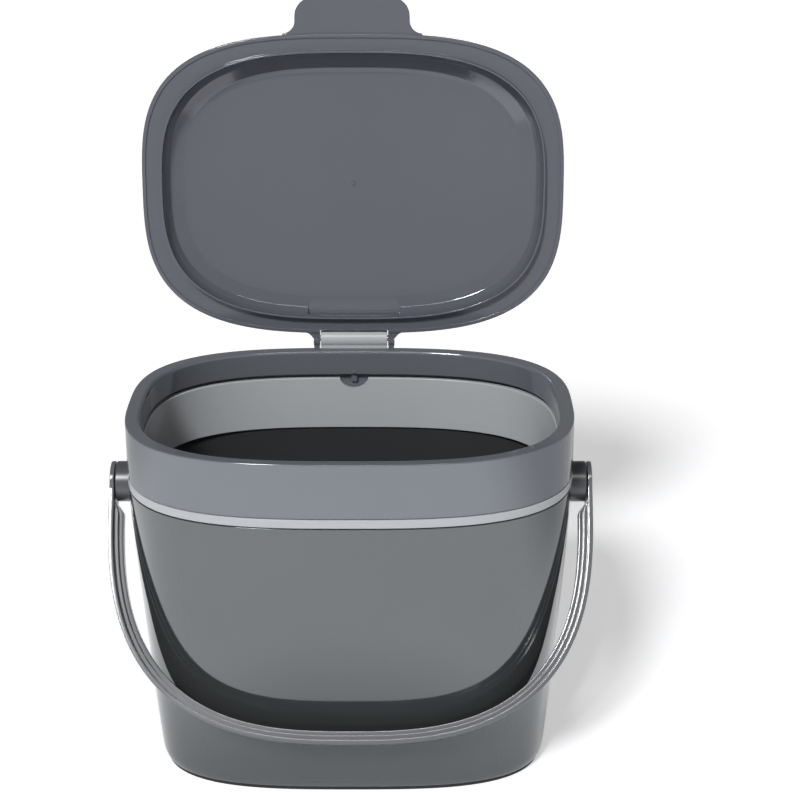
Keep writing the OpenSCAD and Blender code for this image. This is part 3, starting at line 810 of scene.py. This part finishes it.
class CADDY_OT_lid(bpy.types.Operator):
    """Builds the domed lid with its channel, tab, ears and ejector marks"""

    bl_idname = "caddy.lid"
    bl_label = "Lid"

    def execute(self, context):
        b, c, lid, look = caddy().bucket, caddy().collar, caddy().lid, caddy().finishes
        paint = plastic("lid_plastic", look.lid, 0.06, gloss=0.5, metal=0.15)
        low = b.rim_h + lid.gap
        top = low + lid.height
        skirt = lambda inset, z: mouth_ring(-lid.skirt_gap - inset, z)
        edge = lambda inset, z: rim_ring(inset, z, lid.square)
        panel_w, panel_d, panel_n, _ = skirt(lid.skirt_t, 0)
        dish = lambda inset, depth: (panel_w - inset, panel_d - inset * 0.86, panel_n, top - lid.wall - depth)
        panel = spline([dish(i * 0.001, d * 0.001) for i, d in
                        [(66, 0.1), (44, 0.5), (26, 1.2), (14, 2.1), (9.5, 2.7)]], 7)
        dome = [(1.8, 0), (5, 2.6), (11, 4.8), (20, 6.7), (34, 8.1), (52, 8.8), (66, 9)]
        crown = spline([(b.rim_w / 2 - i * 0.001, b.rim_d / 2 - i * 0.00094, lid.square - i * 0.008,
                         low + lid.side_h + (lid.height - lid.side_h) * h / 9) for i, h in dome], 6)
        drop = low - lid.skirt_drop
        floor = low + lid.channel_h
        rings = [(MIDDLE, MIDDLE, 2, panel[0][3])] + panel[:-2]
        rings += soften([(tuple(panel[-2]), 0), (tuple(panel[-1]), 0.0004), (dish(0.003, 0.005), 0.0006),
                         (dish(0.0009, 0.008), 0.0012), (skirt(lid.skirt_t, low), 0.0012),
                         (skirt(lid.skirt_t, drop), 0.0003), (skirt(0, drop), 0.0003),
                         (skirt(0, floor), 0.0006),
                         (edge(lid.wall, floor), 0.0), (edge(lid.wall, low), 0.0002),
                         (edge(0.0, low), 0.0006), (edge(0, low + 0.0016), 0),
                         (edge(0.0003, low + lid.side_h * 0.6), 0), (edge(0.0018, low + lid.side_h), 0)])
        rings += crown[1:] + [(MIDDLE, MIDDLE, 2, crown[-1][3])]
        shell = loft("lid_shell", rings, (b.rim_w / 2, b.rim_d / 2, lid.square), paint)

        inner, back = c.knuckle_w / 2 + lid.ear_gap, b.rim_d / 2
        outer = inner + lid.ear_t
        block = rectangle(skirt(0.001, 0)[1], back - 0.0013, low + 0.0006, low + lid.side_h - 0.0014)
        combine(shell, prism("block", block, -outer, outer, "X"), "UNION")
        combine(shell, rod("clearance", -inner, inner, c.knuckle_d / 2 + 0.0005, (PIN.y, PIN.z)))
        bay = rectangle(back - lid.bay_in, back + 0.012, low - 0.001, low + 0.019)
        combine(shell, prism("bay", bay, -inner, inner, "X"))
        wall, half = skirt(lid.skirt_t + 0.0004, 0)[1], lid.pocket_w / 2
        combine(shell, prism("pocket", rectangle(-half, half, wall - 0.02, wall),
                             drop - 0.001, low + lid.pocket_h, edge=0.0004))
        for part in self.tab(lid, low), *self.ears(lid, c, low):
            combine(shell, part, "UNION")
        sprue = button("sprue", -0.0005, 0.0007, 0.0011, (0, 0.0003), (0, 0), 32)
        sprue.data.transform(Matrix.Translation((0, 0, panel[0][3])) @ Matrix.Rotation(math.pi / 2, 4, "Y"))
        combine(shell, sprue, "UNION")
        marks = self.marks(lid, floor, paint)
        turn = Matrix.Translation(PIN) @ Matrix.Rotation(-LID_OPEN, 4, "X") @ Matrix.Translation(-PIN)
        for piece in (shell, marks):
            piece.data.transform(turn)
        heel = rectangle(back + c.part_gap, PIN.y + 0.0012, PIN.z - lid.heel_reach, PIN.z)
        for side in (1, -1):
            ends = sorted((side * (inner + 0.00025), side * (outer - 0.00025)))
            combine(shell, prism("heel", heel, *ends, "X", edge=0.0002), "UNION")
        dress(shell, paint, "lid", "lid")
        dress(marks, paint, "lid", None)
        return {"FINISHED"}

    def tab(self, lid, low):
        """The finger tab, with round corners and fillets where it leaves the lid's edge."""
        edge, half = -caddy().bucket.rim_d / 2, lid.tab_w / 2
        tip, root, r, f = edge - lid.tab_l, edge + 0.0012, lid.tab_r, lid.tab_fillet
        side = [(half + f, root), (half + f, edge)]
        side += arc(half + f, edge - f, f, math.pi / 2, math.pi, 12)[1:]
        side += arc(half - r, tip + r, r, 0, -math.pi / 2, 12)
        other = [(-x, y) for x, y in reversed(side)]
        under = low + 0.0014
        return prism("tab", side + other, under, under + lid.tab_t, edge=0.0007, segments=3)

    def ears(self, lid, c, low):
        """The two hinge ears with their flared roots, for the closed lid."""
        inner, back = c.knuckle_w / 2 + lid.ear_gap, caddy().bucket.rim_d / 2
        outer, root, foot = inner + lid.ear_t, back - lid.wall, low + 0.0006
        radius, parts = c.knuckle_d / 2, []
        side_view = [(root, foot), (PIN.y, foot)]
        side_view += arc(PIN.y, PIN.z, radius, -math.pi / 2 + 0.15, math.pi / 2, 24)
        side_view += [(root, PIN.z + radius)]
        flare = [(inner + 0.0004, root), (outer + lid.ear_flare, root), (outer + lid.ear_flare, back),
                 (outer + 0.7 * lid.ear_flare, back + 0.0003), (outer + 0.42 * lid.ear_flare, back + 0.0012),
                 (outer - 0.0003, PIN.y), (inner + 0.0004, PIN.y)]
        for side in (1, -1):
            parts.append(prism("ear", side_view, *sorted((side * inner, side * outer)), "X", edge=0.0003))
            parts.append(prism("flare", [(side * x, y) for x, y in flare],
                               foot + 0.0001, foot + lid.side_h - 0.0017, edge=0.0002))
        return parts

    def marks(self, lid, floor, paint):
        """Ejector marks spread round the channel's floor."""
        half_w, half_d, square, _ = rim_ring(0.0046, 0, lid.square)
        angles = [math.radians(a) for a in (0, 33, 76, 104, 147, 180, 213, 256, 284, 327)][:lid.marks]
        spots = []
        for angle in angles:
            x, y = math.cos(angle), math.sin(angle)
            radius = (abs(x / half_w) ** square + abs(y / half_d) ** square) ** (-1 / square)
            spots.append((x * radius, y * radius, floor))
        marks = new_object("lid_ejector_marks", spots)
        return run_tree(marks, TREES["marks"], {"Radius": lid.mark_r, "Rise": 0.00025, "Material": paint})


class CADDY_OT_handle(bpy.types.Operator):
    """Builds the bail handle with its stepped rib, and the two hubs"""

    bl_idname = "caddy.handle"
    bl_label = "Handle and Hubs"

    def execute(self, context):
        h, look = caddy().handle, caddy().finishes
        paint = plastic("handle_plastic", look.handle, 0.16, gloss=0.9)
        outer = HUB_HIGH.x + h.arm_gap + h.strap_t
        arm = outer - h.strap_t
        rail = [(-outer, -h.straight * k / 8) for k in range(8)]
        for angle in np.linspace(math.pi, 2 * math.pi, 361):
            c, s = math.cos(angle), math.sin(angle)
            power = lambda v: math.copysign(abs(v) ** (2 / h.square), v)
            rail.append((outer * power(c), -h.straight + (h.reach - h.straight) * power(s)))
        rail += [(outer, -h.straight * k / 8) for k in range(7, -1, -1)]
        ramp_from = h.hub_d / 2 + 0.0006
        rib = [min(1.0, max(0.0, (-y - ramp_from) / (h.rib_h * 1.1))) for x, y in rail]
        section = self.section(h)
        points = [(x, y, 0) for x, y in rail] + [(a, d, 0) for a, d, s in section]
        count, more = len(rail), len(section)
        edges = [(i, i + 1) for i in range(count - 1)]
        edges += [(count + i, count + (i + 1) % more) for i in range(more)]
        strap = new_object("handle_bail", points, edges)
        blank = [0.0] * count
        set_values(strap.data, "is_rail", [True] * count + [False] * more, "BOOLEAN")
        set_values(strap.data, "rib", rib + [0.0] * more)
        for label, column in (("across", 0), ("depth", 1), ("rib_share", 2)):
            set_values(strap.data, label, blank + [float(p[column]) for p in section])
        tilt = math.pi / 2 - h.lean
        run_tree(strap, TREES["sweep"], {"Rib height": h.rib_h, "Steps": 320, "Turn": (tilt, 0.0, 0.0),
                                         "Pivot": tuple(PIVOT), "Material": paint})
        face_out(strap)
        r, stud_r, at = h.hub_d / 2, h.stud_d / 2, (PIVOT.y, PIVOT.z)
        proud = 0.00006  # keeps the disc's faces off the strap's, so that their union has no holes
        disc = button("disc", arm + proud, outer - proud, r, (h.edge, h.edge), at)
        stud = button("stud", arm + 0.001, arm - 0.0085, stud_r, (0, 0.0004), at, 64)
        for part in (disc, stud):
            twin = mirrored(part, part.name + "_left")
            combine(strap, part, "UNION")
            combine(strap, twin, "UNION")
        dress(strap, paint, "handle", "handle")

        dark = plastic("hub_plastic", look.hub, 0.3, gloss=0.6)
        start, end = HUB_LOW.x + SPIGOT_L, HUB_HIGH.x
        spigot, socket = start - SPIGOT_L, end - 0.006
        profile = [(spigot, ON_AXIS, 0), (spigot, SPIGOT_R, 0), (start, SPIGOT_R, 0), (start, r, 0.0002),
                   (end, r, 0.0006), (end, stud_r + 0.0012, 0.0003), (end - 0.0004, stud_r + 0.0005, 0.0001),
                   (socket, stud_r + 0.0005, 0), (socket, ON_AXIS, 0)]
        hub = turned("hub_right", round_profile(profile), at, 128)
        twin = mirrored(hub, "hub_left")
        dress(hub, dark, "base", "pivot_hub_right")
        dress(twin, dark, "base", "pivot_hub_left")
        return {"FINISHED"}

    def section(self, h):
        """Half of the strap's section mirrored to a whole: (across, depth, share of the rib)."""
        half, rib, crest, r, t = h.strap_w / 2, h.rib_w / 2, h.crest_w / 2, h.edge, h.strap_t
        corners = [(0, 0, 0, 0), (half, 0, 0, r), (half, t, 0, r), (rib, t, 0, 0.0002), (rib, t, 0.5, 0.0004),
                   (crest, t, 0.5, 0.0002), (crest, t, 1, 0.0006), (0, t, 1, 0)]
        path = [((a, s, 0, d + s * h.rib_h), radius) for a, d, s, radius in corners]
        smooth = []
        for across, share, _, raised in soften(path, steps=4):
            depth = raised - share * h.rib_h
            smooth.append((across, t if raised > t and share >= 0 and depth > t - 1e-6 else depth, share))
        other = [(-a, d, s) for a, d, s in reversed(smooth[1:-1])]
        return smooth + other


class CADDY_OT_stage(bpy.types.Operator):
    """Sets the white floor, the studio lights, the world and the camera"""

    bl_idname = "caddy.stage"
    bl_label = "Stage"

    def execute(self, context):
        scene = bpy.context.scene
        floor = new_object("floor", [(-6, -6, 0), (6, -6, 0), (6, 8, 0), (-6, 8, 0)], faces=[(0, 1, 2, 3)])
        floor.data.materials.append(self.floor_material())
        world = bpy.data.worlds.new("studio")
        scene.world = world
        tree = cleared_tree(world)
        path = tree.nodes.new("ShaderNodeLightPath")
        camera_ray = Wire(tree, path.outputs["Is Camera Ray"])
        place = add_node(tree, "ShaderNodeTexCoord", out="Generated")
        split = place.node("ShaderNodeSeparateXYZ", {0: place})
        height = Wire(tree, split.socket.node.outputs[2])
        front = Wire(tree, split.socket.node.outputs[1]) * -0.35 + 1.0
        ramp = height.node("ShaderNodeMapRange", {
            "Value": height, "From Min": 0.05, "From Max": 0.75, "To Min": 0.6, "To Max": 0.1})
        strength = camera_ray + (1 - camera_ray) * (ramp * front)
        back = tree.nodes.new("ShaderNodeBackground")
        tree.links.new(strength.socket, back.inputs["Strength"])
        leave = tree.nodes.new("ShaderNodeOutputWorld")
        tree.links.new(back.outputs[0], leave.inputs[0])

        self.lamp("key", "SUN", (-0.33, -0.85, 1.0), 2.3, spread=math.radians(11))
        strip = self.lamp("strip", "AREA", (-0.15, -1.5, 2.1), 16, size=1.5)
        strip.data.shape, strip.data.size_y = "RECTANGLE", 0.12
        strip.visible_diffuse = False
        camera = bpy.data.objects.new("camera", bpy.data.cameras.new("camera"))
        bpy.context.collection.objects.link(camera)
        camera.data.lens, camera.data.sensor_width = 85.5, 36
        far, down = 0.8779, math.radians(21.62)
        aim = Vector((0.02284, 0, caddy().bucket.rim_h + 0.00088))
        camera.location = aim + Vector((0, -far * math.cos(down), far * math.sin(down)))
        camera.rotation_euler = (math.pi / 2 - down, 0, 0)
        camera.data.clip_start = 0.05
        scene.camera = camera
        scene.view_settings.view_transform = "Standard"
        return {"FINISHED"}

    def lamp(self, name, kind, place, power, size=0.5, spread=0.1):
        """A lamp that points at the middle of the object. A sun has a spread, an area lamp a size."""
        data = bpy.data.lights.new(name, kind)
        data.energy = power
        if kind == "SUN":
            data.angle = spread
        else:
            data.size = size
        lamp = bpy.data.objects.new(name, data)
        bpy.context.collection.objects.link(lamp)
        lamp.location = place
        aim = Vector((0, 0, 0.15)) - Vector(place)
        lamp.rotation_euler = aim.to_track_quat("-Z", "Y").to_euler()
        return lamp

    def floor_material(self):
        """White paper that shows as white to the camera and keeps the object's shadow. To glossy rays it
        glows as a painted pool of light at the front left, with painted contact shade close round the caddy's
        middle, which the glossy plastics show as painted reflections.
        """
        material = bpy.data.materials.new("white_paper")
        tree = cleared_tree(material)
        path = tree.nodes.new("ShaderNodeLightPath")
        camera_ray = Wire(tree, path.outputs["Is Camera Ray"])
        glossy_ray = Wire(tree, path.outputs["Is Glossy Ray"])
        place = add_node(tree, "ShaderNodeTexCoord", out="Object")
        # Painted light: a glowing pool at the front left that fades away from it, and painted contact shade
        # close round the caddy, seen only by glossy rays.
        painted_light_pool = self.falloff(place, (-0.12, -0.3, 0), (0.38, 0.62), (0.95, 0.08))
        painted_reflection_glow = painted_light_pool * self.falloff(place, (0, 0, 0), (0.07, 0.17), (0.25, 1.0))
        fibre = place.node("ShaderNodeTexNoise", {"Vector": place, "Scale": 60.0, "Detail": 4.0})
        shader = tree.nodes.new("ShaderNodeBsdfPrincipled")
        shader.inputs["Roughness"].default_value = 0.9
        shader.inputs["Specular IOR Level"].default_value = 0.1
        paper, tone = Vector((0.88, 0.88, 0.9)), 0.99 + fibre * 0.02
        white = place.node("ShaderNodeVectorMath", {0: paper, "Scale": tone}, operation="SCALE")
        tree.links.new(white.socket, shader.inputs["Base Color"])
        shader.inputs["Emission Color"].default_value = (1, 1, 1, 1)
        # Camera rays see even white; glossy rays see the painted pool of light and its painted contact shade
        # as painted reflections.
        tree.links.new((camera_ray * 0.46 + glossy_ray * painted_reflection_glow).socket, shader.inputs["Emission Strength"])
        leave = tree.nodes.new("ShaderNodeOutputMaterial")
        tree.links.new(shader.outputs[0], leave.inputs[0])
        return material

    def falloff(self, place, middle, distances, values):
        """A value that changes with the distance from a point on the floor."""
        away = place.node("ShaderNodeVectorMath", {0: place, 1: Vector(middle)},
                          operation="DISTANCE", out="Value")
        return place.node("ShaderNodeMapRange", {
            "Value": away, "From Min": distances[0], "From Max": distances[1],
            "To Min": values[0], "To Max": values[1]}, interpolation_type="SMOOTHSTEP")


# The add-on
class CaddySettings(bpy.types.PropertyGroup):
    """All sizes and colours of the caddy."""

    bucket: PointerProperty(type=BucketSizes, name="Bucket", description="Bucket and foot")
    collar: PointerProperty(type=CollarSizes, name="Collar", description="Collar, accent ring and hinge")
    lid: PointerProperty(type=LidSizes, name="Lid", description="Lid and tab")
    handle: PointerProperty(type=HandleSizes, name="Handle", description="Handle and hubs")
    finishes: PointerProperty(type=Finishes, name="Finishes", description="Colours")


class CADDY_PT_panel(bpy.types.Panel):
    """Lists the caddy's pieces, sizes and colours"""

    bl_idname = "CADDY_PT_panel"
    bl_label = "Compost Caddy"
    bl_space_type = "VIEW_3D"
    bl_region_type = "UI"
    bl_category = "Caddy"

    def draw(self, context):
        for operator in OPERATORS:
            self.layout.operator(operator.bl_idname)
        for group in ("bucket", "collar", "lid", "handle", "finishes"):
            box = self.layout.box()
            box.label(text=group.title())
            values = getattr(context.scene.caddy, group)
            for name in values.__annotations__:
                box.prop(values, name)


OPERATORS = (CADDY_OT_bucket, CADDY_OT_collar, CADDY_OT_accent, CADDY_OT_lid, CADDY_OT_handle, CADDY_OT_stage)
CLASSES = (BucketSizes, CollarSizes, LidSizes, HandleSizes, Finishes, CaddySettings, *OPERATORS,
           CADDY_PT_panel)


def register():
    for each in CLASSES:
        bpy.utils.register_class(each)
    bpy.types.Scene.caddy = PointerProperty(type=CaddySettings)


def unregister():
    del bpy.types.Scene.caddy
    for each in reversed(CLASSES):
        bpy.utils.unregister_class(each)


def main():
    register()
    TREES.update(loft=loft_tree(), sweep=sweep_tree(), marks=marks_tree())
    bpy.ops.caddy.bucket()
    bpy.ops.caddy.collar()
    bpy.ops.caddy.accent()
    bpy.ops.caddy.lid()
    bpy.ops.caddy.handle()
    bpy.ops.caddy.stage()


if __name__ == "__main__":
    main()
